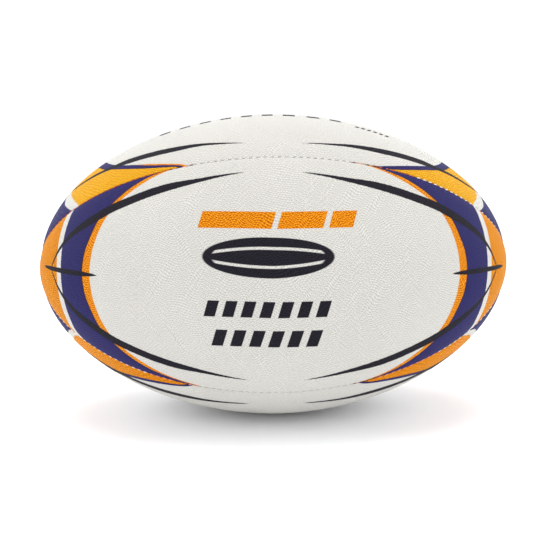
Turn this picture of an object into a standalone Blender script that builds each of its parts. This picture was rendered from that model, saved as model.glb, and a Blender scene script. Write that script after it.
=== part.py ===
"""Four-panel rugby ball: rubber covers on three fabric plies, seam threads, bladder and valve.

The origin is the ball's centre, X is its long axis, Z is up and the front panel faces -Y.
A row is a station along the ball, given as a meridian angle, and a column is a place across
a panel.
"""

import math

import bmesh
import bpy
from mathutils import Matrix, Vector

COLLECTION = "rugby_ball"

# The ball's outer form, in metres.
LENGTH = 0.290
DIAMETER = 0.1854
LENGTH_POWER = 1.879
GIRTH_POWER = 1.989
SEAM_PINCH = 0.085

# How the layers lie under the outer surface: depth of a layer's outer face, and its thickness.
COVER_THICKNESS = 0.0013
PLY_THICKNESS = 0.0004
PLY_DEPTHS = {"outer_ply": 0.00165, "middle_ply": 0.0024, "inner_ply": 0.00315}
BLADDER_DEPTH = 0.0041
BLADDER_THICKNESS = 0.0009

# The turned-in seam.
SEAM_HALF_GAP = 0.00016
SHOULDER_RADIUS = 0.0016
FLANGE_DEPTH = 0.006
THREAD_RADIUS = 0.0003
THREAD_DEPTH = 0.0002

# Under a seam the bladder lies deeper, to clear the turned-in edges.
DENT_DEPTH = 0.0066
DENT_INNER = 0.0046
DENT_OUTER = 0.0086

# Near each tip the panels narrow to points, and the cover thins over this radius.
TIP_FULL_RADIUS = 0.0046

# The valve, set in the back panel at mid-length.
VALVE_ANGLE = -26.3
VALVE_HOLE_RADIUS = 0.0060
VALVE_RECESS = 0.0007
PATCH_RADIUS = 0.015
PATCH_DEPTH = 0.0054
PATCH_THICKNESS = 0.0008
VALVE_STEPS = 24

PANELS = {"front": 0.0, "top": 90.0, "back": 180.0, "bottom": 270.0}
COVER_ROWS = [0, 8, 16, 24, 32, 40, 48, 56, 63, 70, 76, 81, 85, 88.4]
PLY_ROWS = [0, 16, 32, 48, 63, 76, 85]
COVER_SHARES = [0.0, 0.2, 0.4, 0.6, 0.8]
PLY_SHARES = [0.0, 0.4, 0.8]
BLADDER_COLUMNS = [-45.0, -42.3, -39.5, -35.1, -17.55, 0.0, 17.55, 35.1, 39.5, 42.3]

COLOURS = {
    "cover": ((0.86, 0.86, 0.85), 0.55),
    "outer_ply": ((0.78, 0.74, 0.66), 0.9),
    "middle_ply": ((0.72, 0.69, 0.62), 0.9),
    "inner_ply": ((0.66, 0.64, 0.58), 0.9),
    "seam_thread": ((0.80, 0.80, 0.78), 0.6),
    "bladder": ((0.05, 0.05, 0.055), 0.6),
    "bladder_patch": ((0.03, 0.03, 0.035), 0.65),
    "valve_body": ((0.02, 0.02, 0.022), 0.5),
    "valve_plug": ((0.10, 0.09, 0.08), 0.55),
}


def clear_scene():
    for old in list(bpy.data.objects):
        bpy.data.objects.remove(old, do_unlink=True)


def new_collection(name):
    made = bpy.data.collections.new(name)
    bpy.context.scene.collection.children.link(made)
    return made


def both_ways(values):
    """The same values mirrored about zero, in rising order."""
    return [-v for v in reversed(values) if v > 0] + list(values)


def surface_point(row, angle, panel):
    """A point of the outer surface. The angle is measured from the panel's own centre line."""
    t = math.radians(row)
    along = math.copysign(abs(math.sin(t)) ** (2 / LENGTH_POWER), t)
    radius = DIAMETER / 2 * math.cos(t) ** (2 / GIRTH_POWER)
    pinch = SEAM_PINCH * along**4 * (1 - math.cos(math.radians(4 * angle))) / 2
    radius = radius * (1 - pinch)
    phi = math.radians(panel + angle)
    return Vector((LENGTH / 2 * along, -radius * math.cos(phi), radius * math.sin(phi)))


def surface_normal(row, angle, panel):
    step = 0.01
    along = surface_point(row + step, angle, panel) - surface_point(row - step, angle, panel)
    across = surface_point(row, angle + step, panel) - surface_point(row, angle - step, panel)
    return along.cross(across).normalized()


def layer_point(row, angle, panel, depth):
    normal = surface_normal(row, angle, panel)
    return surface_point(row, angle, panel) - normal * depth


def local_radius(row, panel):
    point = surface_point(row, 45, panel)
    return math.hypot(point.y, point.z)


def tip_scale(row, panel):
    return min(1.0, local_radius(row, panel) / TIP_FULL_RADIUS)


def towards_panel(panel, side):
    """Unit vector square to a seam's plane, towards the middle of the panel."""
    seam = math.radians(panel + 45 * side)
    middle = math.radians(panel)
    square = Vector((0, math.sin(seam), math.cos(seam)))
    centre = Vector((0, -math.cos(middle), math.sin(middle)))
    return square if square.dot(centre) > 0 else -square


def edge_point(row, panel, side, inset, depth):
    base = layer_point(row, 45 * side, panel, depth)
    return base + towards_panel(panel, side) * inset


def cover_columns(row, panel):
    """A cover's outer face across one row, from one turned-in edge to the other."""
    scale = tip_scale(row, panel)
    fillet = SHOULDER_RADIUS * scale
    lean = fillet * (1 - math.cos(math.pi / 4))
    start = 45 - math.degrees(math.asin((SEAM_HALF_GAP + fillet) / local_radius(row, panel)))
    half = []
    for share in COVER_SHARES:
        half.append((share * start, None, 0.0))
    half.append((start, None, 0.0))
    half.append((None, SEAM_HALF_GAP + lean, lean))
    half.append((None, SEAM_HALF_GAP, fillet))
    half.append((None, SEAM_HALF_GAP, FLANGE_DEPTH))
    return half


def ply_columns(row, panel, depth):
    inset = SEAM_HALF_GAP + depth
    corner = 45 - math.degrees(math.asin(inset / (local_radius(row, panel))))
    half = []
    for share in PLY_SHARES:
        half.append((share * corner, None, depth))
    half.append((None, inset, depth))
    half.append((None, inset, FLANGE_DEPTH))
    return half


def row_points(row, panel, half):
    """Places a half row on both sides of the panel's centre line."""
    points = []
    for side in (-1, 1):
        line = []
        for angle, inset, depth in half:
            if angle is None:
                line.append(edge_point(row, panel, side, inset, depth))
            else:
                line.append(layer_point(row, angle * side, panel, depth))
        points.append(line)
    return list(reversed(points[0])) + points[1][1:]


def grid_object(name, table, collection):
    """A grid primitive with each of its vertices moved to its place in the table of points."""
    rows = len(table)
    columns = len(table[0])
    vertex_rows = []
    shape = bmesh.new()
    bmesh.ops.create_grid(shape, x_segments=columns - 1, y_segments=rows - 1, size=1)
    for vertex in shape.verts:
        column = round((vertex.co.x + 1) / 2 * (columns - 1))
        row = round((vertex.co.y + 1) / 2 * (rows - 1))
        vertex.co = table[row][column]
        vertex_rows.append(row)
    shape.normal_update()
    outward = sum(f.normal.dot(f.calc_center_median()) * f.calc_area() for f in shape.faces)
    if outward < 0:
        bmesh.ops.reverse_faces(shape, faces=shape.faces)
    mesh = bpy.data.meshes.new(name)
    shape.to_mesh(mesh)
    shape.free()
    made = bpy.data.objects.new(name, mesh)
    collection.objects.link(made)
    return made, vertex_rows


def thicken(piece, thickness, shares=None):
    solid = piece.modifiers.new("thickness", "SOLIDIFY")
    solid.thickness = thickness
    solid.offset = -1
    solid.use_even_offset = True
    solid.use_quality_normals = True
    if shares is not None:
        group = piece.vertex_groups.new(name="thickness")
        for index, share in enumerate(shares):
            group.add([index], share, "REPLACE")
        solid.vertex_group = group.name


def cut(piece, cutter, operation):
    boolean = piece.modifiers.new("cut", "BOOLEAN")
    boolean.operation = operation
    boolean.solver = "EXACT"
    boolean.object = cutter


def paint(piece, kind):
    colour, roughness = COLOURS[kind]
    material = bpy.data.materials.new(piece.name)
    material.use_nodes = True
    shader = material.node_tree.nodes["Principled BSDF"]
    shader.inputs["Base Color"].default_value = (*colour, 1)
    shader.inputs["Roughness"].default_value = roughness
    shader.inputs["Metallic"].default_value = 0.0
    material.diffuse_color = (*colour, 1)
    piece.data.materials.append(material)


def valve_frame():
    """A matrix whose Z is the outward normal at the valve and whose origin is on the surface."""
    panel = PANELS["back"]
    origin = surface_point(0, VALVE_ANGLE, panel)
    z = surface_normal(0, VALVE_ANGLE, panel)
    x = Vector((1, 0, 0))
    y = z.cross(x)
    matrix = Matrix((x, y, z)).transposed().to_4x4()
    matrix.translation = origin
    return matrix


def cylinder_cutter(name, radius, collection):
    shape = bmesh.new()
    bmesh.ops.create_cone(
        shape, cap_ends=True, segments=VALVE_STEPS, radius1=radius, radius2=radius, depth=0.05
    )
    mesh = bpy.data.meshes.new(name)
    shape.to_mesh(mesh)
    shape.free()
    mesh.transform(valve_frame())
    made = bpy.data.objects.new(name, mesh)
    made.hide_render = True
    made.display_type = "WIRE"
    collection.objects.link(made)
    return made


def make_covers(collection, hole):
    for name, panel in PANELS.items():
        table = []
        scales = []
        for row in both_ways(COVER_ROWS):
            table.append(row_points(row, panel, cover_columns(row, panel)))
            scales.append(tip_scale(row, panel))
        piece, vertex_rows = grid_object("cover_panel_" + name, table, collection)
        thicken(piece, COVER_THICKNESS, [scales[row] for row in vertex_rows])
        if name == "back":
            cut(piece, hole, "DIFFERENCE")
        paint(piece, "cover")


def make_plies(collection, hole):
    for kind, depth in PLY_DEPTHS.items():
        for name, panel in PANELS.items():
            table = []
            for row in both_ways(PLY_ROWS):
                table.append(row_points(row, panel, ply_columns(row, panel, depth)))
            piece, _ = grid_object(kind + "_" + name, table, collection)
            thicken(piece, PLY_THICKNESS)
            if name == "back":
                cut(piece, hole, "DIFFERENCE")
            paint(piece, kind)


def make_threads(collection):
    names = list(PANELS)
    for index, name in enumerate(names):
        panel = PANELS[name]
        following = names[(index + 1) % len(names)]
        curve = bpy.data.curves.new("thread_line", "CURVE")
        curve.dimensions = "3D"
        rows = both_ways(COVER_ROWS)
        line = curve.splines.new("POLY")
        line.points.add(len(rows) - 1)
        for point, row in zip(line.points, rows):
            point.co = (*edge_point(row, panel, 1, 0.0, THREAD_DEPTH), 1)
        curve.bevel_depth = THREAD_RADIUS
        curve.bevel_resolution = 1
        curve.use_fill_caps = True
        drawn = bpy.data.objects.new("thread_line", curve)
        bpy.context.scene.collection.objects.link(drawn)
        bpy.context.view_layer.update()
        mesh = bpy.data.meshes.new_from_object(drawn.evaluated_get(
            bpy.context.evaluated_depsgraph_get()))
        bpy.data.objects.remove(drawn, do_unlink=True)
        shape = bmesh.new()
        shape.from_mesh(mesh)
        bmesh.ops.remove_doubles(shape, verts=shape.verts, dist=0.00001)
        bmesh.ops.recalc_face_normals(shape, faces=shape.faces)
        shape.to_mesh(mesh)
        shape.free()
        mesh.materials.clear()
        made = bpy.data.objects.new("seam_thread_" + name + "_" + following, mesh)
        collection.objects.link(made)
        paint(made, "seam_thread")


def bladder_point(row, angle, panel):
    radius = local_radius(row, panel)
    distance = radius * math.sin(math.radians(45 - abs(angle)))
    share = (distance - DENT_INNER) / (DENT_OUTER - DENT_INNER)
    share = min(1.0, max(0.0, share))
    depth = DENT_DEPTH + (BLADDER_DEPTH - DENT_DEPTH) * share
    return layer_point(row, angle, panel, depth)


def make_bladder(collection, hole):
    rows = both_ways(PLY_ROWS)
    per_panel = len(BLADDER_COLUMNS)
    columns = per_panel * len(PANELS)
    rings = len(rows) + 1
    centres = list(PANELS.values())
    shape = bmesh.new()
    bmesh.ops.create_uvsphere(shape, u_segments=columns, v_segments=rings, radius=1)
    for vertex in shape.verts:
        ring = round(math.acos(max(-1.0, min(1.0, -vertex.co.z))) / math.pi * rings)
        if ring in (0, rings):
            tip = LENGTH / 2 - DENT_DEPTH
            vertex.co = Vector((tip if ring else -tip, 0, 0))
            continue
        turn = math.atan2(vertex.co.y, vertex.co.x) / (2 * math.pi) * columns
        column = round(turn) % columns
        panel = centres[column // per_panel]
        vertex.co = bladder_point(rows[ring - 1], BLADDER_COLUMNS[column % per_panel], panel)
    bmesh.ops.recalc_face_normals(shape, faces=shape.faces)
    mesh = bpy.data.meshes.new("bladder")
    shape.to_mesh(mesh)
    shape.free()
    piece = bpy.data.objects.new("bladder", mesh)
    collection.objects.link(piece)
    thicken(piece, BLADDER_THICKNESS)
    cut(piece, hole, "DIFFERENCE")
    paint(piece, "bladder")


def make_patch(collection, hole, disc):
    """The ring that strengthens the bladder around the valve, following the bladder's inside."""
    table = []
    for row in (-16, 0, 16):
        line = []
        for angle in (-39.5, -35.1, -17.55, 0.0):
            line.append(layer_point(row, angle, PANELS["back"], PATCH_DEPTH))
        table.append(line)
    piece, _ = grid_object("bladder_patch", table, collection)
    thicken(piece, PATCH_THICKNESS)
    cut(piece, disc, "INTERSECT")
    cut(piece, hole, "DIFFERENCE")
    paint(piece, "bladder_patch")


def turned(name, profile, closed, collection):
    """Turns a profile of (radius, height) pairs in millimetres about the valve's axis."""
    shape = bmesh.new()
    corners = []
    for radius, height in profile:
        corners.append(shape.verts.new((radius / 1000, 0, height / 1000)))
    for first, second in zip(corners, corners[1:]):
        shape.edges.new((first, second))
    if closed:
        shape.edges.new((corners[-1], corners[0]))
    mesh = bpy.data.meshes.new(name)
    shape.to_mesh(mesh)
    shape.free()
    piece = bpy.data.objects.new(name, mesh)
    collection.objects.link(piece)
    screw = piece.modifiers.new("turn", "SCREW")
    screw.axis = "Z"
    screw.steps = VALVE_STEPS
    screw.render_steps = VALVE_STEPS
    screw.use_merge_vertices = True
    screw.merge_threshold = 0.00001
    screw.use_smooth_shade = False
    piece.matrix_world = valve_frame()
    return piece


def make_valve(collection):
    recess = -VALVE_RECESS * 1000
    body = [
        (1.0, recess),
        (5.1, recess),
        (5.6, recess - 0.5),
        (5.6, -8.3),
        (10.0, -8.9),
        (10.0, -9.6),
        (5.2, -10.6),
        (4.7, -17.0),
        (2.0, -17.0),
        (2.0, -16.0),
        (3.3, -16.0),
        (3.3, -3.9),
        (1.0, -2.7),
    ]
    plug = [
        (0.0, -5.2),
        (1.5, -4.5),
        (2.9, -4.5),
        (2.9, -14.6),
        (1.6, -15.6),
        (0.0, -15.6),
    ]
    paint(turned("valve_body", body, True, collection), "valve_body")
    paint(turned("valve_plug", plug, False, collection), "valve_plug")


clear_scene()
parts = new_collection(COLLECTION)
cutters = new_collection("cutters")
valve_hole = cylinder_cutter("valve_hole", VALVE_HOLE_RADIUS, cutters)
patch_disc = cylinder_cutter("patch_disc", PATCH_RADIUS, cutters)
make_covers(parts, valve_hole)
make_plies(parts, valve_hole)
make_threads(parts)
make_bladder(parts, valve_hole)
make_patch(parts, valve_hole, patch_disc)
make_valve(parts)
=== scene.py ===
"""The looks of a four-panel rugby ball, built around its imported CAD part.

Lengths in the tables and constants are in millimetres, and angles in degrees, unless a comment
says otherwise. "Along" is the distance from mid-length along the surface, and "across" is the
distance from a panel's centre line. A printed place is one on the pattern as it was drawn,
before it crept on the ball.
"""

import math

import bmesh
import bpy
import numpy as np
from mathutils import Matrix, Vector


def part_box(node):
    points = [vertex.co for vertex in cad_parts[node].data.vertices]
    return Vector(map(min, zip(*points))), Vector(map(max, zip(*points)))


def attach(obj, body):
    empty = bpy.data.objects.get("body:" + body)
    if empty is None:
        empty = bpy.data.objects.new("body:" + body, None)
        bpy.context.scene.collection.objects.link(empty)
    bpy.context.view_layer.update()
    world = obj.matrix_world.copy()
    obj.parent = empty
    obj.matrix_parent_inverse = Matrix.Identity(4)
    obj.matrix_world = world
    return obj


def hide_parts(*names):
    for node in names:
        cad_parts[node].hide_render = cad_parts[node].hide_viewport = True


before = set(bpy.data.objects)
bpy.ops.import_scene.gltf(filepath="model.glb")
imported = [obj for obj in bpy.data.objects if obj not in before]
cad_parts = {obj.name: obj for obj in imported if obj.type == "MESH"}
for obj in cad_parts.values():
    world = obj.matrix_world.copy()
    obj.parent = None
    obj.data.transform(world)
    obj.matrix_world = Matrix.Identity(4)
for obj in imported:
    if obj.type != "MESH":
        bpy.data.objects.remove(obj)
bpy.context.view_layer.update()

MM = 0.001

# The outer form, the same as the CAD covers, in metres.
front_low, front_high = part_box("cover_panel_front")
HALF_LENGTH = max(abs(front_low[0]), abs(front_high[0]))
HALF_GIRTH = abs(front_low[1])
LENGTH_POWER = 1.879
GIRTH_POWER = 1.989
SEAM_PINCH = 0.085

PANEL_ANGLES = {"front": 0.0, "top": 90.0, "back": 180.0, "bottom": 270.0}

# How a cover's grid is divided. The columns crowd towards its edges.
ROWS = 330
MIDDLE_COLUMNS = 58
COLUMN_CROWDING = 1.25
SHOULDER_POINTS = 10

# How a cover is shaped. Near a point of the ball, where the seam is closer to the long axis
# than FULL_SIZE_RADIUS, everything at the seam shrinks with that distance.
COVER_THICKNESS = 0.9
TIP_RADIUS = 0.7
FULL_SIZE_RADIUS = 5.0
SEAM_HALF_GAP = 0.05
SHOULDER_WIDTH = 0.75
SHOULDER_DEPTH = 0.9
FLANGE_DEPTH = 2.6
PILLOW_DEPTH = 0.30
PILLOW_WIDTH = 3.5
PUCKER_DEPTH = 0.22
PUCKER_WIDTH = 1.1

# Three slow waves over the covers: their heights, and how far along they run in one radian.
# The third also fades and returns over a longer way.
WAVE_HEIGHTS = (0.10, 0.08, 0.07)
WAVE_RUNS = (17, 29, 41)
WAVE_FADE_RUN = 120

# Where the ball's upper side stands out or dips: a distance along, the spread and the height.
UPPER_BULGES = [(-115, 45, 0.6), (-70, 22, 0.35), (0, 35, -0.35), (105, 22, -0.4)]

# The valve's opening in the back cover: its angle from the panel's centre, the half width of
# the grid's block that it replaces, where its lip begins, and the lip as radius and depth.
VALVE_ANGLE = -26.3
OPENING_BLOCK = 6.29
OPENING_RADIUS = 6.9
OPENING_LIP = [(6.6, 0.06), (6.35, 0.20), (6.17, 0.42), (6.06, 0.70), (6.0, 1.0), (6.0, 1.5)]

# Beside the opening the columns are closer: how many, over which half width, and how much
# further out the ordinary columns stop. FLAT_HALF_ANGLE is a cover's half angle at mid-length
# without its rounded edges.
OPENING_COLUMNS = 17
OPENING_HALF_WIDTH = 8.6
OPENING_MARGIN = 1.06
FLAT_HALF_ANGLE = 44.5

# How many blocks out from the opening's middle the hole ends, the pushing of the grid into a
# round ends, and a place of a cover without an opening counts as.
OPENING_EDGE = 0.99
OPENING_PUSH = 2.6
FAR_OUT = 99.0

# The valve's body: its sides, the rounding of its edges, and its section as radius and height
# above the cover's face.
VALVE_SIDES = 72
VALVE_ROUNDING = 0.12
VALVE_OUTLINE = [(1.0, -1.25), (1.08, -1.08), (1.6, -0.92), (2.5, -0.84), (2.75, -0.84),
                 (2.95, -1.02), (3.25, -1.02), (3.45, -0.72), (5.05, -0.70), (5.38, -0.80),
                 (5.54, -0.98), (5.6, -1.25), (5.6, -8.3), (10.0, -8.9), (10.0, -9.6),
                 (5.2, -10.6), (4.7, -17.0), (2.0, -17.0), (2.0, -16.0), (3.3, -16.0),
                 (3.3, -3.9), (1.0, -2.7)]

# The sewing. Each stitch slants across the seam by STITCH_REACH each way and dips by
# STITCH_DIP at its ends. Each one differs a little in length, place and depth. The thread's
# strands turn by THREAD_TWIST, in radians, from one step of a stitch to the next.
STITCH_PITCH = 3.9
STITCH_LENGTH = 2.5
STITCH_REACH = 0.38
STITCH_DEPTH = 0.38
STITCH_DIP = 1.1
LENGTH_SHARES = (0.85, 1.1)
PLACE_SPREAD = 0.15
DEPTH_SPREAD = 0.08
STITCH_STEPS = 13
STITCH_SIDES = 10
THREAD_RADIUS = 0.40
THREAD_STRANDS = 3
THREAD_TWIST = 1.9
UNSEWN_END = 6.0

# The stitches' tint, from 0 to 1, red up to a half and dark brown above it, and the
# distances along where it starts, where every stitch has it, where it thins and where it ends.
# The seam below the front panel has a weaker tint, which ends elsewhere on the left and on the
# right.
STRONG_TINT = 0.95
WEAK_TINT = 0.35
THIN_TINT = 0.74
THIN_TINT_BELOW = 0.38
TINT_START = 44
TINT_ALL = 52
TINT_THINS = 59
TINT_END = 81
TINT_END_SPREAD = 4
TINT_END_BELOW_LEFT = 76
TINT_END_BELOW_RIGHT = 98

# The printed pattern, mirrored end to end and side to side on every panel. Each pair is a
# distance across a panel and the distance along at which a colour begins. From mid-length out
# the colours are white, the line, the band, a white gap and the cap.
FRONT_LINE_EDGE = [(0, 107.2), (10, 106.0), (20, 102.9), (30, 98.1), (40, 90.6), (50, 79.4),
                   (60, 64.9), (65, 55.0), (67.5, 48.5), (70, 41.5), (74, 30.0)]
FRONT_BAND_EDGE = [(0, 113.2), (10, 111.8), (20, 107.7), (30, 102.7), (40, 94.3), (50, 83.6),
                   (58, 72.2), (62, 64.2), (65.5, 56.2), (68.9, 47.0), (74, 31.0)]
TOP_LINE_EDGE = [(0, 107.0), (10, 105.8), (20, 102.7), (30, 97.9), (40, 90.4), (50, 79.5),
                 (60, 65.6), (65, 56.8), (68.7, 50.2), (71.5, 47.2), (76, 45.5)]
TOP_BAND_EDGE = [(0, 113.4), (10, 112.0), (20, 107.9), (30, 102.9), (40, 94.5), (50, 83.8),
                 (58, 73.4), (62, 66.8), (65.4, 60.0), (68.7, 53.0), (71.5, 50.0), (76, 48.0)]
GAP_EDGE = [(0, 132.2), (10, 131.7), (20, 130.2), (30, 127.6), (38, 124.9), (44, 120.5),
            (60, 108.0)]
TIP_EDGE = [(0, 136.6), (10, 136.2), (20, 134.9), (30, 132.2), (37, 129.4), (42, 125.6),
            (60, 111.0)]
TOP_GAP_EDGE = [(0, 132.2), (10, 131.7), (20, 130.2), (26, 128.5), (32, 125.9), (38, 123.0),
                (44, 119.8), (60, 110.0)]
TOP_TIP_EDGE = [(0, 136.8), (10, 136.6), (20, 135.8), (26, 134.4), (32, 131.6), (38, 128.2),
                (43, 125.0), (60, 113.0)]

# The dark strokes. Each triple is a distance along, then the stroke's near and far edges
# across.
STROKE = [(0, 63.6, 60.4), (15.5, 60.8, 60.8), (19, 59.9, 60.5), (27, 58.0, 59.4),
          (42, 53.7, 56.7), (55, 49.8, 54.5), (68, 45.4, 50.7), (80, 40.8, 46.2),
          (93, 35.4, 41.0), (101, 31.2, 36.9), (113, 25.0, 30.0), (123, 19.3, 23.2),
          (131, 13.4, 16.2), (137, 7.5, 9.7), (140, 3.9, 5.6), (143, 0.3, 1.5),
          (147, -4.6, -4.6)]

# On the top cover the stroke is finer where it crosses the band.
TOP_STROKE = STROKE[:8] + [(87, 37.8, 43.1), (93, 35.8, 40.0), (101, 32.0, 35.3),
                           (113, 25.6, 28.6), (123, 19.8, 22.5), (131, 13.9, 15.8)] + STROKE[13:]

# On the bottom cover it is a little broader.
BROADENING = 0.35
BROADER = [(along, near - BROADENING, far + BROADENING) for along, near, far in STROKE[2:13]]
BOTTOM_STROKE = STROKE[:2] + BROADER + STROKE[13:]

# The dark spindle on each end's centre line: a distance along and half its width there.
SPINDLE = [(98.5, -1.5), (101.6, 0.0), (105, 0.68), (108, 0.98), (112, 1.25), (121, 1.42),
           (130, 1.38), (138, 1.28), (146, 1.10), (151, 0.72), (154.2, 0.0), (157, -1.2)]

# How far each panel's print has crept towards the right end: at its left end, at its right
# end, the lean for each mm across, where the creep starts and how far it takes to grow.
PRINT_SLIP = {
    "front": (0.8, 0.0, 0.028, 55, 55),
    "top": (0.0, 3.4, 0.0, 5, 30),
    "back": (0.0, 0.0, 0.0, 55, 55),
    "bottom": (-3.8, 0.0, 0.0, 55, 55),
}

# How far each panel's print has crept sideways all along. Towards the left end the front's and
# the top's have crept further, each pair being how far and over which distance.
PRINT_SHIFT = {"front": 0.3, "top": 0.3, "back": 0.3, "bottom": -3.2}
FRONT_SHIFT_NEAR = (1.6, 35)
FRONT_SHIFT_FAR = (2.3, 150)
TOP_SHIFT_NEAR = (2.1, 40)

# The marks in the middle of a panel. Bars and dash rows are boxes, each given by its lowest and
# highest place along and its near and far edge across. After them a dash row has the number of
# dashes, a dash's half width as a share of their pitch, and the lean of its ends.
BAR_ENDS = [(-38.7, 0.0), (3.0, 27.0), (30.0, 43.0)]
BAR_EDGES = (27.8, 37.0)
MARK_LEAN = 0.3
UPPER_DASHES = (-38.4, 30.2, -19.0, -10.2, 7, 0.31, MARK_LEAN)
LOWER_DASHES = (-34.8, 25.6, -36.3, -26.4, 6, 0.31, MARK_LEAN)
LONG_DASHES = (-71.0, 41.5, -19.5, -7.0, 9, 0.26, 0.0)
SMALL_DASHES = (46.0, 68.0, -25.5, -21.5, 6, 0.3, 0.4)

# The oval between them, and the two pale arcs in it: the dark rim that they leave, where each
# arc crosses the oval's middle, their bend towards each other, and half their width.
OVAL_MIDDLE = (-3.2, 12.7)
OVAL_HALF_SIZE = (34.5, 10.6)
OVAL_RIM = 1.5
HIGH_ARC = 17.6
LOW_ARC = 7.8
ARC_BEND = 0.0030
ARC_HALF_WIDTH = 0.75

# The moulded grain: rows of beads that swing to and fro. Each wander is a noise's scale per mm
# and how far it moves a place.
ROW_PITCH = 1.3
ROW_SWING = 1.75
SWING_LENGTH = 14
SWING_WANDER = (0.022, 34.0)
ROW_WANDER = (0.3, 0.9)
BEAD_PITCH = 1.6
BEAD_STAGGER = 0.83
BEAD_WANDER = (0.5, 1.6)
ROW_HEIGHT = 0.34
BEAD_HEIGHT = 0.26
SPECK_SCALE = 1.3
SPECK_HEIGHT = 0.4

# How ragged the grain makes a printed edge, the dark line where two inks overlap, and the
# orange fringe along part of the top cover's line. It starts and stops at a place along, over
# so many mm each way.
RAGGEDNESS = 0.30
OVERLAP_HALF_WIDTH = 0.32
OVERLAP_SHARE = 0.85
FRINGE_HALF_WIDTH = 0.9
FRINGE_START = (-74.0, 5.0)
FRINGE_STOP = (54.0, 4.0)

# How deep in the seam's groove a cover's colour begins to take a painted shade, and where
# that painted shade is darkest.
GROOVE_DEPTHS = (0.55, 1.1)

# The plies' weave: the pitch along the ball, and how many threads lie in a radian round it.
WEAVE_PITCH = 1.2
WEAVES_A_RADIAN = 70

# Colours, most of them followed by the darker one of the grain's valleys. On the inks the
# valleys are darker partly because ink lies thicker there; the rest of the valleys' darkness,
# and all of it on the white, is painted shade, and the peaks' colours hold a painted sheen.
WHITE = (0.660, 0.650, 0.618)
WHITE_VALLEY = (0.455, 0.442, 0.412)
ORANGE = (0.860, 0.345, 0.012)
ORANGE_VALLEY = (0.330, 0.070, 0.000)
LIGHT_ORANGE = (0.770, 0.440, 0.020)
LIGHT_ORANGE_VALLEY = (0.450, 0.175, 0.000)
# The caps' orange is the band's orange painted darker: painted shade towards the ball's ends.
CAP_ORANGE = (0.790, 0.318, 0.000)
CAP_ORANGE_VALLEY = (0.300, 0.064, 0.000)
NAVY = (0.030, 0.028, 0.132)
NAVY_VALLEY = (0.017, 0.014, 0.070)
INK = (0.021, 0.019, 0.027)
INK_VALLEY = (0.009, 0.008, 0.012)
OVERPRINT = (0.018, 0.006, 0.012)
# Painted shade deep in the seams' grooves: the colour is multiplied by this brown.
GROOVE_SHADE_BROWN = (0.34, 0.27, 0.20)


# ---------------------------------------------------------------- shapes

def soft_step(value):
    """0 below zero and 1 above one, with a smooth rise between them."""
    value = np.clip(value, 0, 1)
    return value * value * (3 - 2 * value)


def smooth_curve(table, column=1):
    """A function through the table's points with no overshoot between them."""
    x = np.array([row[0] for row in table], float)
    y = np.array([row[column] for row in table], float)
    step = np.diff(x)
    slope = np.diff(y) / step
    tangent = np.zeros(len(x))
    tangent[0] = 0.0 if x[0] == 0 else slope[0]
    tangent[-1] = slope[-1]
    for i in range(1, len(x) - 1):
        if slope[i - 1] * slope[i] > 0:
            tangent[i] = 2 * slope[i - 1] * slope[i] / (slope[i - 1] + slope[i])

    def value(at):
        at = np.clip(at, x[0], x[-1])
        i = np.clip(np.searchsorted(x, at, "right") - 1, 0, len(x) - 2)
        t = (at - x[i]) / step[i]
        a = 2 * t**3 - 3 * t**2 + 1
        b = t**3 - 2 * t**2 + t
        c = -2 * t**3 + 3 * t**2
        d = t**3 - t**2
        return a * y[i] + b * step[i] * tangent[i] + c * y[i + 1] + d * step[i] * tangent[i + 1]

    return value


def meridian_table():
    """Meridian angle against the distance along the surface from mid-length, in mm."""
    turn = np.linspace(0, math.pi / 2, 6001)
    along = HALF_LENGTH * np.sin(turn) ** (2 / LENGTH_POWER)
    radius = HALF_GIRTH * np.maximum(np.cos(turn), 0) ** (2 / GIRTH_POWER)
    run = np.concatenate([[0], np.cumsum(np.hypot(np.diff(along), np.diff(radius)))])
    return turn, run / MM, radius / MM


TURN, RUN, RADIUS = meridian_table()


def surface(along, angle, panel):
    """Points of the outer surface. Along is in mm, and the angle is from the panel's centre."""
    turn = np.interp(np.abs(along), RUN, TURN)
    share = np.sin(turn) ** (2 / LENGTH_POWER)
    radius = HALF_GIRTH * np.maximum(np.cos(turn), 0) ** (2 / GIRTH_POWER)
    radius = radius * (1 - SEAM_PINCH * share**4 * (1 - np.cos(np.radians(4 * angle))) / 2)
    phi = np.radians(panel + angle)
    return np.stack(
        [HALF_LENGTH * share * np.sign(along), -radius * np.cos(phi), radius * np.sin(phi)], -1
    )


def surface_normal(along, angle, panel):
    ahead = surface(along + 0.05, angle, panel) - surface(along - 0.05, angle, panel)
    beside = surface(along, angle + 0.05, panel) - surface(along, angle - 0.05, panel)
    normal = np.cross(ahead, beside)
    return normal / np.linalg.norm(normal, axis=-1, keepdims=True)


def radius_at(along):
    """The seam's distance from the long axis, in mm."""
    point = surface(np.asarray(along, float), 45.0, 0.0)
    return np.hypot(point[..., 1], point[..., 2]) / MM


def towards_panel(panel, side):
    """Unit vector square to a seam's plane, towards the middle of the panel."""
    seam = math.radians(panel + 45 * side)
    middle = math.radians(panel)
    square = np.array([0, math.sin(seam), math.cos(seam)])
    centre = np.array([0, -math.cos(middle), math.sin(middle)])
    return square if square @ centre > 0 else -square


def valve_frame():
    """The valve's place on the surface, two directions across it and the one out of it."""
    origin = surface(np.array(0.0), np.array(VALVE_ANGLE), PANEL_ANGLES["back"])
    out = surface_normal(np.array(0.0), np.array(VALVE_ANGLE), PANEL_ANGLES["back"])
    along = np.array([1.0, 0.0, 0.0])
    return origin, along, np.cross(out, along), out


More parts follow.
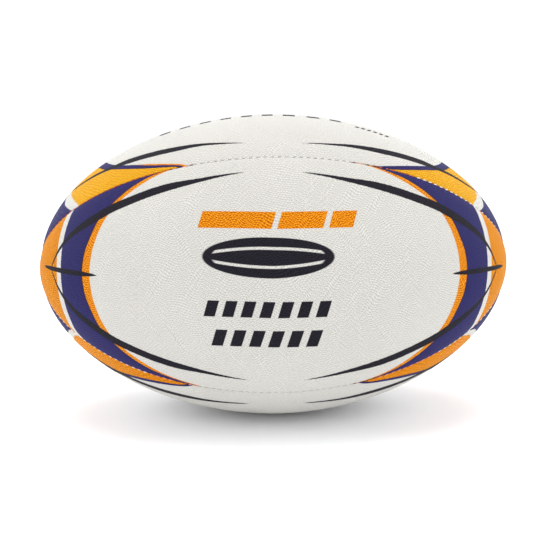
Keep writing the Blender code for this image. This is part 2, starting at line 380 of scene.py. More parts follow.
def undulation(along, phi):
    """A slow unevenness of the blown-up covers, in mm, at an angle round the ball."""
    turn = np.radians(phi)
    first, second, third = [along / run for run in WAVE_RUNS]
    value = WAVE_HEIGHTS[0] * np.sin(first + 2 * np.sin(turn) + 0.7)
    value = value + WAVE_HEIGHTS[1] * np.sin(second - 3 * np.cos(turn) + 2.1)
    fading = np.cos(along / WAVE_FADE_RUN)
    value = value + WAVE_HEIGHTS[2] * np.sin(5 * turn + third + 1.3) * fading
    upper = np.maximum(np.sin(turn), 0) ** 2
    for place, spread, height in UPPER_BULGES:
        value = value + height * np.exp(-(((along - place) / spread) ** 2)) * upper
    return value


def full_size_share(radius):
    """How much of its full size everything at a seam has, this far from the long axis."""
    return np.minimum(1.0, radius / FULL_SIZE_RADIUS)


def stitch_places():
    end = RUN[-1] - UNSEWN_END
    count = int(end / STITCH_PITCH)
    return (np.arange(-count, count) + 0.5) * STITCH_PITCH


def pull(along):
    """How hard the nearest stitch pulls, from 0 between stitches to 1 at one."""
    return (0.5 + 0.5 * np.cos(2 * math.pi * (along / STITCH_PITCH - 0.5))) ** 2


def shoulder_profile():
    """Inset and depth down a cover's rounded edge, in mm, from the top of the shoulder."""
    places = []
    for i in range(SHOULDER_POINTS):
        turn = math.pi / 2 * (1 - i / (SHOULDER_POINTS - 1))
        inset = SEAM_HALF_GAP + SHOULDER_WIDTH * (1 - math.cos(turn))
        places.append((inset, SHOULDER_DEPTH * (1 - math.sin(turn))))
    places.append((SEAM_HALF_GAP, (SHOULDER_DEPTH + FLANGE_DEPTH) / 2))
    places.append((SEAM_HALF_GAP, FLANGE_DEPTH))
    return places


def column_shares(opening):
    """Where a cover's columns lie, from -1 to 1, with more of them beside an opening."""
    shares = np.linspace(-1, 1, MIDDLE_COLUMNS)
    shares = np.sin(shares * COLUMN_CROWDING) / math.sin(COLUMN_CROWDING)
    if opening is None:
        return shares
    centre = opening / FLAT_HALF_ANGLE
    reach = OPENING_HALF_WIDTH / (HALF_GIRTH / MM) * 180 / math.pi / FLAT_HALF_ANGLE
    beside = np.linspace(centre - reach, centre + reach, OPENING_COLUMNS)
    ordinary = shares[np.abs(shares - centre) > reach * OPENING_MARGIN]
    return np.sort(np.concatenate([ordinary, beside]))


def round_opening(along, angle, opening):
    """Pushes the grid round a circle. Gives the new places and how many rings out each is."""
    girth = HALF_GIRTH / MM
    lateral = np.radians(angle - opening) * girth
    rings = np.maximum(np.abs(along), np.abs(lateral)) / OPENING_BLOCK
    away = np.maximum(np.hypot(along, lateral), 1e-6)
    share = soft_step((OPENING_PUSH - rings) / (OPENING_PUSH - 1))
    radius = OPENING_RADIUS + OPENING_BLOCK * np.maximum(rings - 1, 0)
    new_along = along * (1 - share) + share * radius * along / away
    new_lateral = lateral * (1 - share) + share * radius * lateral / away
    return new_along, opening + np.degrees(new_lateral / girth), rings


def seam_sink(along, inset, scale):
    """How deep the seam draws a cover in, this far from the seam's plane."""
    pucker = PUCKER_DEPTH * pull(along) * np.exp(-((inset / PUCKER_WIDTH) ** 2)) * scale
    return pucker + PILLOW_DEPTH * np.exp(-((inset / PILLOW_WIDTH) ** 2)) * scale


def print_shift(name, along):
    """How far a place of a panel's print has crept sideways, in mm."""
    left = np.maximum(-along, 0)
    shift = PRINT_SHIFT[name] + 0 * along
    if name == "front":
        far, span = FRONT_SHIFT_NEAR
        shift = shift + far * (1 - np.exp(-left / span))
        far, span = FRONT_SHIFT_FAR
        shift = shift + far * (left / span) ** 3
    elif name == "top":
        far, span = TOP_SHIFT_NEAR
        shift = shift + far * np.clip(left / span, 0, 1)
    return shift


def print_slip(name, along, across):
    """How far a place of a panel's print has crept towards the right end, in mm."""
    left, right, lean, start, span = PRINT_SLIP[name]
    share = soft_step((np.abs(along) - start) / span)
    return share * (np.where(along < 0, left, right) + lean * across)


def printed_fields(name, along, across, depth, edges, stroke):
    """What a cover's material reads at each point: its printed place, and the edges there."""
    fields = {
        "print_along": along - print_slip(name, along, across),
        "print_across": across - print_shift(name, along),
        "seam_depth": depth,
    }
    place = np.abs(fields["print_along"])
    lateral = np.abs(fields["print_across"])
    for key, table in edges.items():
        fields[key] = smooth_curve(table)(lateral)
    fields["stroke_near"] = smooth_curve(stroke, 1)(place)
    fields["stroke_far"] = smooth_curve(stroke, 2)(place)
    fields["spindle"] = smooth_curve(SPINDLE)(place)
    return fields


def cover_rows(panel, opening=None):
    """A cover's outer face as tables with one row for each station along the ball.

    They are the place along, the point, the place across, the depth below the plain form, and
    how many blocks out from the opening each place is.
    """
    end = np.interp(TIP_RADIUS, RADIUS[::-1], RUN[::-1])
    row_along = np.linspace(-end, end, ROWS)
    row_radius = radius_at(row_along)
    row_scale = full_size_share(row_radius)
    start = 45 - np.degrees(np.arcsin((SEAM_HALF_GAP + SHOULDER_WIDTH * row_scale) / row_radius))
    profile = shoulder_profile()[1:]

    shares = column_shares(opening)
    along = np.repeat(row_along[:, None], len(shares), 1)
    angle = shares[None, :] * start[:, None]
    rings = np.full_like(along, FAR_OUT)
    if opening is not None:
        along, angle, rings = round_opening(along, angle, opening)
    radius = radius_at(along)
    inset = radius * np.sin(np.radians(45 - np.abs(angle)))
    depth = seam_sink(along, inset, full_size_share(radius))
    lift = (undulation(along, panel + angle) - depth)[..., None] * MM
    places = surface(along, angle, panel) + surface_normal(along, angle, panel) * lift
    across = radius * np.radians(angle)

    def edge(side):
        """The columns of a cover's rounded edge, from the top of the shoulder down."""
        place = np.repeat(row_along[:, None], len(profile), 1)
        scale = row_scale[:, None]
        inset = np.array([pair[0] for pair in profile])[None, :] * scale
        drop = np.array([pair[1] for pair in profile])[None, :] * scale
        depth = drop + seam_sink(place, inset, scale)
        angle = np.full_like(place, 45.0 * side)
        sink = (depth - undulation(place, panel + angle))[..., None] * MM
        point = surface(place, angle, panel) - surface_normal(place, angle, panel) * sink
        point = point + towards_panel(panel, side) * inset[..., None] * MM
        lateral = side * (row_radius[:, None] * math.pi / 4 - inset + drop)
        return place, point, lateral, depth

    middle = (along, places, across, depth)
    joined = [
        np.concatenate([first[:, ::-1], table, second], 1)
        for first, table, second in zip(edge(-1), middle, edge(1))
    ]
    count = len(profile)
    rings = np.pad(rings, ((0, 0), (count, count)), constant_values=FAR_OUT)
    return (*joined, rings)


# ---------------------------------------------------------------- meshes

def new_object(name, data):
    made = bpy.data.objects.new(name, data)
    bpy.context.scene.collection.objects.link(made)
    return made


def add_fields(mesh, fields):
    """Writes one number for each point and each field, which the materials read."""
    for key, values in fields.items():
        attribute = mesh.attributes.new(key, "FLOAT", "POINT")
        attribute.data.foreach_set("value", np.ascontiguousarray(values, np.float32))


def turn_outward(mesh):
    """Deletes points that no face uses, turns the faces outward and shades them smooth."""
    shape = bmesh.new()
    shape.from_mesh(mesh)
    loose = [vertex for vertex in shape.verts if not vertex.link_faces]
    bmesh.ops.delete(shape, geom=loose, context="VERTS")
    bmesh.ops.recalc_face_normals(shape, faces=shape.faces)
    shape.to_mesh(mesh)
    shape.free()
    mesh.shade_smooth()


def roll_lip(points, fields, quads, border):
    """Adds rings of faces from the border of the valve's opening down into the cover."""
    origin, x, y, z = valve_frame()
    away = points[border] - origin
    turn = np.arctan2(away @ y, away @ x)
    order = np.argsort(turn)
    border = border[order]
    turn = turn[order]
    height = (away @ z)[order]
    last = border
    for radius, drop in OPENING_LIP:
        ring = origin + radius * MM * (np.cos(turn)[:, None] * x + np.sin(turn)[:, None] * y)
        ring = ring + (height - drop * MM)[:, None] * z
        fresh = len(points) + np.arange(len(border))
        points = np.concatenate([points, ring])
        for key in fields:
            fields[key] = np.concatenate([fields[key], fields[key][border]])
        faces = np.stack([last, fresh, np.roll(fresh, -1), np.roll(last, -1)], -1)
        quads = np.concatenate([quads, faces])
        last = fresh
    return points, quads


def sheet_mesh(name, points, fields, rings):
    """A mesh over a table of points, with a rolled lip round the opening if it has one."""
    rows, columns = points.shape[:2]
    flat = points.reshape(-1, 3)
    fields = {key: value.reshape(-1) for key, value in fields.items()}
    index = np.arange(rows * columns).reshape(rows, columns)
    quads = np.stack([index[:-1, :-1], index[1:, :-1], index[1:, 1:], index[:-1, 1:]], -1)
    quads = quads.reshape(-1, 4)
    inside = (rings.reshape(-1) < OPENING_EDGE)[quads].any(1)
    removed = quads[inside]
    quads = quads[~inside]
    if len(removed):
        flat, quads = roll_lip(flat, fields, quads, np.intersect1d(removed, quads))
    mesh = bpy.data.meshes.new(name)
    mesh.from_pydata(flat.tolist(), [], quads.tolist())
    add_fields(mesh, fields)
    turn_outward(mesh)
    return new_object(name, mesh)


# ---------------------------------------------------------------- materials

class Graph:
    """Short ways to build one material's nodes. Most methods return an output socket."""

    def __init__(self, name):
        self.material = bpy.data.materials.new(name)
        self.material.use_nodes = True
        self.tree = self.material.node_tree
        self.shader = self.tree.nodes["Principled BSDF"]

    def node(self, kind, **settings):
        made = self.tree.nodes.new(kind)
        for key, value in settings.items():
            setattr(made, key, value)
        return made

    def put(self, socket, value):
        if isinstance(value, bpy.types.NodeSocket):
            self.tree.links.new(value, socket)
        elif isinstance(value, tuple) and len(value) == 3 and socket.type == "RGBA":
            socket.default_value = (*value, 1)
        else:
            socket.default_value = value

    def field(self, name):
        return self.node("ShaderNodeAttribute", attribute_name=name).outputs["Fac"]

    def math(self, operation, first, second=0.0):
        made = self.node("ShaderNodeMath", operation=operation)
        for socket, value in zip(made.inputs, (first, second)):
            self.put(socket, value)
        return made.outputs[0]

    def step(self, value, softness=0.2):
        """0 below zero and 1 above it, softened over this many mm each way."""
        made = self.node("ShaderNodeMapRange", interpolation_type="SMOOTHSTEP")
        self.put(made.inputs["Value"], value)
        made.inputs["From Min"].default_value = -softness
        made.inputs["From Max"].default_value = softness
        return made.outputs["Result"]

    def remap(self, value, low, high, to_low, to_high):
        made = self.node("ShaderNodeMapRange")
        self.put(made.inputs["Value"], value)
        for key, number in (("From Min", low), ("From Max", high), ("To Min", to_low),
                            ("To Max", to_high)):
            made.inputs[key].default_value = number
        return made.outputs["Result"]

    def mix(self, share, first, second, blend="MIX"):
        made = self.node("ShaderNodeMix", data_type="RGBA", blend_type=blend)
        self.put(made.inputs[0], share)
        self.put(made.inputs[6], first)
        self.put(made.inputs[7], second)
        return made.outputs[2]

    def vector(self, x, y):
        made = self.node("ShaderNodeCombineXYZ")
        self.put(made.inputs[0], x)
        self.put(made.inputs[1], y)
        return made.outputs[0]

    def place(self):
        return self.node("ShaderNodeTexCoord").outputs["Object"]

    def noise(self, at, scale, detail=2.0, dimensions="3D"):
        made = self.node("ShaderNodeTexNoise", noise_dimensions=dimensions)
        self.put(made.inputs["Vector"], at)
        made.inputs["Scale"].default_value = scale
        made.inputs["Detail"].default_value = detail
        return made.outputs["Fac"]

    def wander(self, at, scale, reach, detail=1.0):
        """A flat noise from about minus half the reach to plus half of it."""
        level = self.math("SUBTRACT", self.noise(at, scale, detail, "2D"), 0.5)
        return self.math("MULTIPLY", level, reach)

    def wave(self, place, length):
        """A sine that repeats after this length."""
        return self.math("SINE", self.math("MULTIPLY", place, 2 * math.pi / length))

    def bump(self, height, distance, strength=1.0, under=None):
        made = self.node("ShaderNodeBump")
        self.put(made.inputs["Height"], height)
        made.inputs["Distance"].default_value = distance
        made.inputs["Strength"].default_value = strength
        if under is not None:
            self.put(made.inputs["Normal"], under)
        return made.outputs["Normal"]

    def grey(self, value):
        made = self.node("ShaderNodeCombineColor")
        for socket in made.inputs[:3]:
            self.put(socket, value)
        return made.outputs[0]

    def finish(self, colour, roughness, normal=None, specular=0.5):
        self.put(self.shader.inputs["Base Color"], colour)
        self.put(self.shader.inputs["Roughness"], roughness)
        self.shader.inputs["Specular IOR Level"].default_value = specular
        if normal is not None:
            self.put(self.shader.inputs["Normal"], normal)
        return self.material


def grain(g, along, across):
    """The moulded grain as a height from 0 to 1."""
    at = g.vector(along, across)
    swing = g.wave(g.math("ADD", along, g.wander(at, *SWING_WANDER)), SWING_LENGTH)
    row_place = g.math("ADD", across, g.math("MULTIPLY", swing, ROW_SWING))
    row_place = g.math("ADD", row_place, g.wander(at, *ROW_WANDER))
    rows = g.math("MULTIPLY", g.wave(row_place, ROW_PITCH), ROW_HEIGHT)
    row_number = g.math("FLOOR", g.math("DIVIDE", row_place, ROW_PITCH))
    bead_place = g.math("ADD", along, g.math("MULTIPLY", row_number, BEAD_STAGGER))
    bead_place = g.math("ADD", bead_place, g.wander(at, *BEAD_WANDER))
    beads = g.math("MULTIPLY", g.wave(bead_place, BEAD_PITCH), BEAD_HEIGHT)
    specks = g.wander(at, SPECK_SCALE, SPECK_HEIGHT, 2.0)
    height = g.math("ADD", g.math("ADD", rows, beads), specks)
    return g.remap(height, -0.5, 0.5, 0.0, 1.0)


def leaning_place(g, along, across, near, far, lean):
    """The place along less the lean, and the height over the middle of near and far."""
    height = g.math("SUBTRACT", across, (near + far) / 2)
    return g.math("SUBTRACT", along, g.math("MULTIPLY", height, lean)), height


def slanted_bar(g, along, across, low, high, near, far, lean=MARK_LEAN):
    """1 inside a bar with slanted ends."""
    leaning, height = leaning_place(g, along, across, near, far, lean)
    tall = g.math("SUBTRACT", (far - near) / 2, g.math("ABSOLUTE", height))
    wide = g.math("SUBTRACT", (high - low) / 2,
                  g.math("ABSOLUTE", g.math("SUBTRACT", leaning, (high + low) / 2)))
    return g.math("MULTIPLY", g.step(tall), g.step(wide))


def dash_row(g, along, across, low, high, near, far, count, share, lean):
    """A row of plain dashes that fills a slanted bar."""
    pitch = (high - low) / count
    leaning, height = leaning_place(g, along, across, near, far, lean)
    place = g.math("FRACT", g.math("DIVIDE", g.math("SUBTRACT", leaning, low), pitch))
    from_middle = g.math("ABSOLUTE", g.math("SUBTRACT", place, 0.5))
    dash = g.step(g.math("MULTIPLY", g.math("SUBTRACT", share, from_middle), pitch))
    return g.math("MULTIPLY", dash, slanted_bar(g, along, across, low, high, near, far, lean))


def oval(g, along, across):
    """The badge's oval without its two arcs, as 1 inside it."""
    x = g.math("SUBTRACT", along, OVAL_MIDDLE[0])
    y = g.math("SUBTRACT", across, OVAL_MIDDLE[1])
    part_x = g.math("DIVIDE", x, OVAL_HALF_SIZE[0])
    part_y = g.math("DIVIDE", y, OVAL_HALF_SIZE[1])
    squares = g.math("ADD", g.math("MULTIPLY", part_x, part_x), g.math("MULTIPLY", part_y, part_y))
    inside = g.math("MULTIPLY", g.math("SUBTRACT", 1.0, g.math("SQRT", squares)), OVAL_HALF_SIZE[1])
    bend = g.math("MULTIPLY", g.math("MULTIPLY", x, x), ARC_BEND)
    high_arc = g.math("ABSOLUTE", g.math("SUBTRACT", g.math("ADD", across, bend), HIGH_ARC))
    low_arc = g.math("ABSOLUTE", g.math("SUBTRACT", g.math("SUBTRACT", across, bend), LOW_ARC))
    arcs = g.step(g.math("SUBTRACT", ARC_HALF_WIDTH, g.math("MINIMUM", high_arc, low_arc)))
    pale = g.math("MULTIPLY", arcs, g.step(g.math("SUBTRACT", inside, OVAL_RIM)))
    return g.math("MULTIPLY", g.step(inside), g.math("SUBTRACT", 1.0, pale))


def badge(g, along, across, both_rows):
    """Shares of orange and of ink in a plain badge: three bars, an oval and the dash rows."""
    bars = [slanted_bar(g, along, across, *ends, *BAR_EDGES) for ends in BAR_ENDS]
    orange = g.math("MAXIMUM", bars[0], g.math("MAXIMUM", bars[1], bars[2]))
    ink = g.math("MAXIMUM", oval(g, along, across), dash_row(g, along, across, *UPPER_DASHES))
    if both_rows:
        ink = g.math("MAXIMUM", ink, dash_row(g, along, across, *LOWER_DASHES))
    return orange, ink


def cover_material(name, line, band, cap, marks):
    """A printed cover. Line, band and cap are pairs: the colour and its valleys' colour.

    The marks are "badge", "badge beside valve", "dashes" or "fringed dashes".
    """
    with_badge = marks.startswith("badge")
    with_fringe = marks == "fringed dashes"
    g = Graph(name)
    along = g.field("print_along")
    across = g.field("print_across")
    height = grain(g, along, across)
    ragged = g.math("MULTIPLY", g.math("SUBTRACT", height, 0.5), RAGGEDNESS)
    outward = g.math("ADD", g.math("ABSOLUTE", along), ragged)
    sideways = g.math("ABSOLUTE", across)
    past_line = g.math("SUBTRACT", outward, g.field("line_edge"))
    past_band = g.math("SUBTRACT", outward, g.field("band_edge"))
    on_line = g.step(past_line)
    on_band = g.step(past_band)
    on_gap = g.step(g.math("SUBTRACT", outward, g.field("gap_edge")))
    on_tip = g.step(g.math("SUBTRACT", outward, g.field("tip_edge")))
    if with_fringe:
        near_edge = g.math("SUBTRACT", FRINGE_HALF_WIDTH, g.math("ABSOLUTE", past_line))
        started = g.step(g.math("SUBTRACT", along, FRINGE_START[0]), FRINGE_START[1])
        going = g.step(g.math("SUBTRACT", FRINGE_STOP[0], along), FRINGE_STOP[1])
        fringe = g.math("MULTIPLY", g.step(near_edge), g.math("MULTIPLY", started, going))
    if with_badge:
        orange_marks, ink_marks = badge(g, along, across, marks == "badge")
    else:
        ink_marks = g.math("MAXIMUM", dash_row(g, along, across, *LONG_DASHES),
                           dash_row(g, along, across, *SMALL_DASHES))

    def printed(white, line_colour, band_colour, cap_colour, orange):
        """The print without its ink, in the colours of the grain's peaks or valleys."""
        colour = g.mix(on_line, white, line_colour)
        if with_fringe:
            colour = g.mix(fringe, colour, orange)
        colour = g.mix(on_band, colour, band_colour)
        colour = g.mix(on_gap, colour, white)
        colour = g.mix(on_tip, colour, cap_colour)
        if with_badge:
            colour = g.mix(orange_marks, colour, orange)
        return colour

    peak = printed(WHITE, line[0], band[0], cap[0], ORANGE)
    valley = printed(WHITE_VALLEY, line[1], band[1], cap[1], ORANGE_VALLEY)
    # Painted sheen on the grain's peaks, and in its valleys painted shade, which on the inks goes
    # with thicker ink.
    colour = g.mix(height, valley, peak)
    overlap = g.step(g.math("SUBTRACT", OVERLAP_HALF_WIDTH, g.math("ABSOLUTE", past_band)))
    colour = g.mix(g.math("MULTIPLY", overlap, OVERLAP_SHARE), colour, OVERPRINT)

    inside = g.math("MINIMUM", g.math("SUBTRACT", sideways, g.field("stroke_near")),
                    g.math("SUBTRACT", g.field("stroke_far"), sideways))
    stroke = g.step(g.math("ADD", inside, ragged))
    spindle = g.step(g.math("SUBTRACT", g.field("spindle"), g.math("ABSOLUTE", across)))
    dark = g.math("MAXIMUM", ink_marks, g.math("MAXIMUM", stroke, spindle))
    colour = g.mix(dark, colour, g.mix(height, INK_VALLEY, INK))

    patchy = g.remap(g.noise(g.place(), 22.0, 3.0), 0.3, 0.7, 0.985, 1.012)
    colour = g.mix(1.0, colour, g.grey(patchy), "MULTIPLY")
    # Painted shade: deep in the seam's groove the colour is multiplied by a brown.
    groove_shade = g.remap(g.field("seam_depth"), *GROOVE_DEPTHS, 0.0, 1.0)
    colour = g.mix(groove_shade, colour, g.mix(1.0, colour, GROOVE_SHADE_BROWN, "MULTIPLY"))
    rough = g.remap(height, 0.0, 1.0, 0.62, 0.50)
    fine = g.bump(g.noise(g.place(), 2600.0, 2.0), 0.00004, 0.5)
    normal = g.bump(height, 0.00016, 0.8, fine)
    g.shader.inputs["Diffuse Roughness"].default_value = 1.0
    return g.finish(colour, rough, normal, 0.04)


def thread_material(name):
    """Twisted thread in stripes along its strands: white, red, and dark brown as its tint grows."""
    g = Graph(name)
    strands = g.math("SINE", g.field("thread_turn"))
    share = g.remap(strands, -1.0, 1.0, 0.0, 1.0)
    untinted = g.mix(share, (0.52, 0.50, 0.46), (0.74, 0.73, 0.70))
    dark_brown = g.mix(share, (0.060, 0.010, 0.006), (0.210, 0.040, 0.014))
    reddened = g.mix(share, (0.560, 0.055, 0.004), (0.920, 0.150, 0.010))
    # The stitch's tint: red up to a half, dark brown above.
    ink = g.field("thread_tint")
    colour = g.mix(g.remap(ink, 0.0, 0.5, 0.0, 1.0), untinted, reddened)
    colour = g.mix(g.remap(ink, 0.5, 0.9, 0.0, 1.0), colour, dark_brown)
    fuzz = g.noise(g.place(), 3500.0, 2.0)
    normal = g.bump(fuzz, 0.00003, 0.6, g.bump(strands, 0.00006, 0.9))
    return g.finish(colour, g.remap(fuzz, 0.0, 1.0, 0.5, 0.75), normal, 0.3)


def weave_material(name, base, gap):
    """Woven cloth: threads over and under each other, with gaps."""
    g = Graph(name)
    at = g.node("ShaderNodeSeparateXYZ")
    g.put(at.inputs[0], g.place())
    along = g.wave(at.outputs[0], WEAVE_PITCH * MM)
    turn = g.math("ARCTAN2", at.outputs[2], at.outputs[1])
    around = g.math("SINE", g.math("MULTIPLY", turn, 2 * math.pi * WEAVES_A_RADIAN))
    height = g.math("ADD", g.math("MULTIPLY", g.math("MULTIPLY", along, around), 0.5), 0.5)
    stain = g.noise(g.place(), 60.0, 3.0)
    colour = g.mix(g.remap(height, 0.1, 0.7, 0.0, 1.0), gap, base)
    colour = g.mix(g.remap(stain, 0.4, 0.7, 0.0, 0.25), colour, gap)
    return g.finish(colour, g.remap(stain, 0.0, 1.0, 0.82, 0.95), g.bump(height, 0.0002, 0.8), 0.2)


def rubber_material(name, base, bloom, rough):
    """Moulded rubber with a powdery bloom and a fine mould texture."""
    g = Graph(name)
    cloud = g.noise(g.place(), 45.0, 4.0)
    speck = g.noise(g.place(), 900.0, 3.0)
    colour = g.mix(g.remap(cloud, 0.42, 0.72, 0.0, 1.0), base, bloom)
    return g.finish(colour, g.remap(speck, 0.2, 0.8, rough - 0.08, rough + 0.1),
                    g.bump(speck, 0.00005, 0.7), 0.4)


def floor_material(name):
    g = Graph(name)
    colour = g.mix(g.noise(g.place(), 3.0, 2.0), (0.935, 0.945, 0.962), (0.945, 0.955, 0.972))
    return g.finish(colour, 0.9, None, 0.1)


# ---------------------------------------------------------------- pieces

def make_cover(name, edges, stroke, material):
    panel = PANEL_ANGLES[name]
    opening = VALVE_ANGLE if name == "back" else None
    along, points, across, depth, rings = cover_rows(panel, opening)
    fields = printed_fields(name, along, across, depth, edges, stroke)
    piece = sheet_mesh("cover_" + name, points, fields, rings)
    solid = piece.modifiers.new("thickness", "SOLIDIFY")
    solid.thickness = COVER_THICKNESS * MM
    solid.offset = -1
    piece.data.materials.append(material)
    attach(piece, "root")
    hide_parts("cover_panel_" + name)
    return piece


def tube(path, radius, sides):
    """Rings of points around a path, and their turn about it."""
    ahead = np.gradient(path, axis=0)
    ahead = ahead / np.linalg.norm(ahead, axis=1, keepdims=True)
    side = np.cross(ahead, path / np.linalg.norm(path, axis=1, keepdims=True))
    side = side / np.linalg.norm(side, axis=1, keepdims=True)
    other = np.cross(ahead, side)
    turn = np.linspace(0, 2 * math.pi, sides, endpoint=False)
    ring = np.cos(turn)[None, :, None] * side[:, None]
    ring = ring + np.sin(turn)[None, :, None] * other[:, None]
    return path[:, None] + ring * radius[:, None, None], turn


def thread_tint_at(seam, along, rng):
    """How strongly a stitch is tinted, from 0 to 1: red up to a half, dark brown above."""
    reach = abs(along)
    below = seam == "bottom_front"
    tinted_to = TINT_END + rng.uniform(-TINT_END_SPREAD, TINT_END_SPREAD)
    if seam == "front_top" and along < 0:
        tinted_to = RUN[-1]
    elif below:
        tinted_to = TINT_END_BELOW_LEFT if along < 0 else TINT_END_BELOW_RIGHT
    if reach < TINT_START or reach > tinted_to:
        return 0.0
    if reach < TINT_ALL and not (below and along > 0):
        ink = rng.choice([WEAK_TINT, STRONG_TINT])
    elif reach < TINT_THINS:
        ink = STRONG_TINT
    else:
        ink = THIN_TINT_BELOW if below else THIN_TINT
    return ink * rng.uniform(0.9, 1.0)


def stitch_path(place, panel, rng):
    """A stitch's slanted line, dipping at its ends, and its radius along it, in metres."""
    scale = float(full_size_share(radius_at(place)))
    share = np.linspace(-1, 1, STITCH_STEPS)
    half = STITCH_LENGTH / 2 * rng.uniform(*LENGTH_SHARES) * (0.5 + 0.5 * scale)
    along = place + rng.uniform(-PLACE_SPREAD, PLACE_SPREAD) + share * half
    angle = np.full_like(along, 45.0)
    lift = undulation(along, panel + angle) - PILLOW_DEPTH * scale
    depth = STITCH_DEPTH + STITCH_DIP * np.abs(share) ** 4
    depth = depth + rng.uniform(-DEPTH_SPREAD, DEPTH_SPREAD)
    sink = (depth * scale - lift)[:, None] * MM
    path = surface(along, angle, panel) - surface_normal(along, angle, panel) * sink
    slant = (share * STITCH_REACH * scale)[:, None] * MM
    path = path - towards_panel(panel, 1) * slant
    return path, THREAD_RADIUS * scale * MM * (1 + 0.04 * np.cos(9 * share))


def make_stitches(name, following, material):
    """One short bar of thread for each stitch in the groove between a panel and the next."""
    panel = PANEL_ANGLES[name]
    seam = name + "_" + following
    verts = []
    faces = []
    turns = []
    inks = []
    sides = STITCH_SIDES
    rng = np.random.default_rng(int(panel) + 7)
    for place in stitch_places():
        path, radius = stitch_path(place, panel, rng)
        rings, turn = tube(path, radius, sides)
        start = len(verts)
        verts.extend(rings.reshape(-1, 3).tolist())
        inks.extend([thread_tint_at(seam, place, rng)] * (STITCH_STEPS * sides))
        for i in range(STITCH_STEPS):
            turns.extend(THREAD_STRANDS * turn + i * THREAD_TWIST)
        for i in range(STITCH_STEPS - 1):
            for j in range(sides):
                a = start + i * sides + j
                b = start + i * sides + (j + 1) % sides
                faces.append((a, b, b + sides, a + sides))
        faces.append([start + j for j in reversed(range(sides))])
        faces.append([start + (STITCH_STEPS - 1) * sides + j for j in range(sides)])
    mesh = bpy.data.meshes.new("stitches_" + seam)
    mesh.from_pydata(verts, [], faces)
    add_fields(mesh, {"thread_turn": turns, "thread_tint": inks})
    mesh.shade_smooth()
    piece = new_object(mesh.name, mesh)
    piece.data.materials.append(material)
    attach(piece, "root")
    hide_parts("seam_thread_" + seam)
    return piece


def make_valve(material):
    """The valve's rubber body, turned from a closed outline of radius and height."""
    origin, x, y, z = valve_frame()
    sides = VALVE_SIDES
    turn = np.linspace(0, 2 * math.pi, sides, endpoint=False)
    across = np.cos(turn)[:, None] * x + np.sin(turn)[:, None] * y
    rings = [origin + (radius * across + height * z) * MM for radius, height in VALVE_OUTLINE]
    faces = []
    for i in range(len(rings)):
        first = i * sides
        second = (i + 1) % len(rings) * sides
        for j in range(sides):
            k = (j + 1) % sides
            faces.append((first + j, first + k, second + k, second + j))
    mesh = bpy.data.meshes.new("valve_body_turned")
    mesh.from_pydata(np.concatenate(rings).tolist(), [], faces)
    turn_outward(mesh)
    piece = new_object(mesh.name, mesh)
    rounded = piece.modifiers.new("rounded", "BEVEL")
    rounded.width = VALVE_ROUNDING * MM
    rounded.segments = 2
    rounded.limit_method = "ANGLE"
    piece.data.materials.append(material)
    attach(piece, "root")
    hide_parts("valve_body")
    return piece


orange = (ORANGE, ORANGE_VALLEY)
light_orange = (LIGHT_ORANGE, LIGHT_ORANGE_VALLEY)
cap_orange = (CAP_ORANGE, CAP_ORANGE_VALLEY)
navy = (NAVY, NAVY_VALLEY)
front_edges = {"line_edge": FRONT_LINE_EDGE, "band_edge": FRONT_BAND_EDGE,
               "gap_edge": GAP_EDGE, "tip_edge": TIP_EDGE}
top_edges = {"line_edge": TOP_LINE_EDGE, "band_edge": TOP_BAND_EDGE,
             "gap_edge": TOP_GAP_EDGE, "tip_edge": TOP_TIP_EDGE}
bottom_edges = {**top_edges, "gap_edge": GAP_EDGE, "tip_edge": TIP_EDGE}
for name, line, band, cap, marks, edges, stroke in (
    ("front", orange, navy, cap_orange, "badge", front_edges, STROKE),
    ("top", navy, light_orange, navy, "fringed dashes", top_edges, TOP_STROKE),
    ("back", orange, navy, cap_orange, "badge beside valve", front_edges, STROKE),
    ("bottom", navy, orange, navy, "dashes", bottom_edges, BOTTOM_STROKE),
):
    make_cover(name, edges, stroke, cover_material("cover_" + name, line, band, cap, marks))

make_valve(rubber_material("valve_body", (0.010, 0.010, 0.011), (0.024, 0.024, 0.025), 0.5))

thread = thread_material("seam_thread")
panel_names = list(PANEL_ANGLES)
for name, following in zip(panel_names, panel_names[1:] + panel_names[:1]):
    make_stitches(name, following, thread)

# ---------------------------------------------------------------- hidden parts keep their CAD shape

for kind, base, gap in (
    ("outer_ply", (0.62, 0.57, 0.47), (0.30, 0.26, 0.20)),
    ("middle_ply", (0.56, 0.52, 0.43), (0.27, 0.24, 0.19)),
    ("inner_ply", (0.50, 0.47, 0.40), (0.24, 0.22, 0.18)),
):
    cloth = weave_material(kind, base, gap)
    for name in PANEL_ANGLES:
        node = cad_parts[kind + "_" + name]
        node.data.materials.clear()
        node.data.materials.append(cloth)
for name, base, bloom, rough in (
    ("bladder", (0.012, 0.012, 0.013), (0.030, 0.030, 0.031), 0.55),
    ("bladder_patch", (0.009, 0.009, 0.010), (0.022, 0.022, 0.023), 0.6),
    ("valve_plug", (0.020, 0.016, 0.013), (0.035, 0.030, 0.026), 0.5),
):
    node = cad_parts[name]
    node.data.materials.clear()
    node.data.materials.append(rubber_material(name, base, bloom, rough))

# ---------------------------------------------------------------- stage, light and camera

# From here on lengths are in metres, apart from the camera's lens.
FLOOR_HALF_SIDE = 6.0
floor_mesh = bpy.data.meshes.new("floor")
shape = bmesh.new()
bmesh.ops.create_grid(shape, x_segments=24, y_segments=24, size=FLOOR_HALF_SIDE)
shape.to_mesh(floor_mesh)
shape.free()
floor = new_object("floor", floor_mesh)
floor.location = (0, 0, -HALF_GIRTH)
floor.data.materials.append(floor_material("floor"))

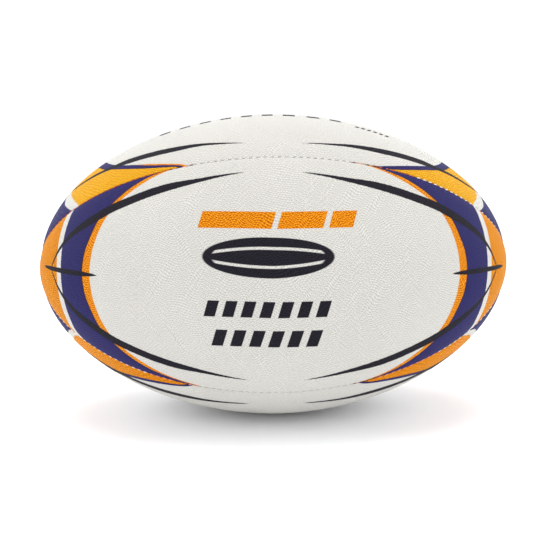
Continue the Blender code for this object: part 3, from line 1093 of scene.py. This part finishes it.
# White walls all round, brighter at the two ends of the ball.
EVEN_LIGHT = 1.0
SIDE_LIGHT = 1.9
world = bpy.data.worlds.new("studio")
world.use_nodes = True
sky = world.node_tree
direction = sky.nodes.new("ShaderNodeTexCoord")
parts = sky.nodes.new("ShaderNodeSeparateXYZ")
sides = sky.nodes.new("ShaderNodeMath")
sides.operation = "MULTIPLY"
strength = sky.nodes.new("ShaderNodeMath")
strength.operation = "MULTIPLY_ADD"
strength.inputs[1].default_value = SIDE_LIGHT
strength.inputs[2].default_value = EVEN_LIGHT
sky.links.new(direction.outputs["Generated"], parts.inputs[0])
sky.links.new(parts.outputs[0], sides.inputs[0])
sky.links.new(parts.outputs[0], sides.inputs[1])
sky.links.new(sides.outputs[0], strength.inputs[0])
sky.links.new(strength.outputs[0], sky.nodes["Background"].inputs["Strength"])
sky.nodes["Background"].inputs["Color"].default_value = (1.0, 1.0, 1.0, 1)
bpy.context.scene.world = world
bpy.context.scene.view_settings.view_transform = "Standard"
bpy.context.scene.view_settings.look = "None"


def area_light(name, place, target, size, power):
    data = bpy.data.lights.new(name, "AREA")
    data.shape = "DISK"
    data.size = size
    data.energy = power
    lamp = new_object(name, data)
    lamp.location = place
    lamp.rotation_euler = (Vector(target) - Vector(place)).to_track_quat("-Z", "Y").to_euler()


area_light("overhead", place=(0.0, 0.1, 1.5), target=(0, 0, 0), size=1.3, power=13.0)

# The camera stands at a distance and a height angle from the ball's middle, a little to one
# side. The pitch is how far it looks down.
CAMERA_LENS = 53.25
CAMERA_DISTANCE = 0.497
CAMERA_HEIGHT_ANGLE = 6.207
CAMERA_PITCH = 6.391
CAMERA_ROLL = -0.929
CAMERA_SIDE = -0.00415
camera_data = bpy.data.cameras.new("camera")
camera_data.lens = CAMERA_LENS
camera_data.clip_start = 0.01
camera_data.dof.use_dof = False
camera = new_object("camera", camera_data)
height_angle = math.radians(CAMERA_HEIGHT_ANGLE)
camera.location = (
    CAMERA_SIDE,
    -CAMERA_DISTANCE * math.cos(height_angle),
    CAMERA_DISTANCE * math.sin(height_angle),
)
tilt = Matrix.Rotation(math.radians(90 - CAMERA_PITCH), 4, "X")
roll = Matrix.Rotation(math.radians(CAMERA_ROLL), 4, "Z")
camera.rotation_euler = (tilt @ roll).to_euler()
bpy.context.scene.camera = camera
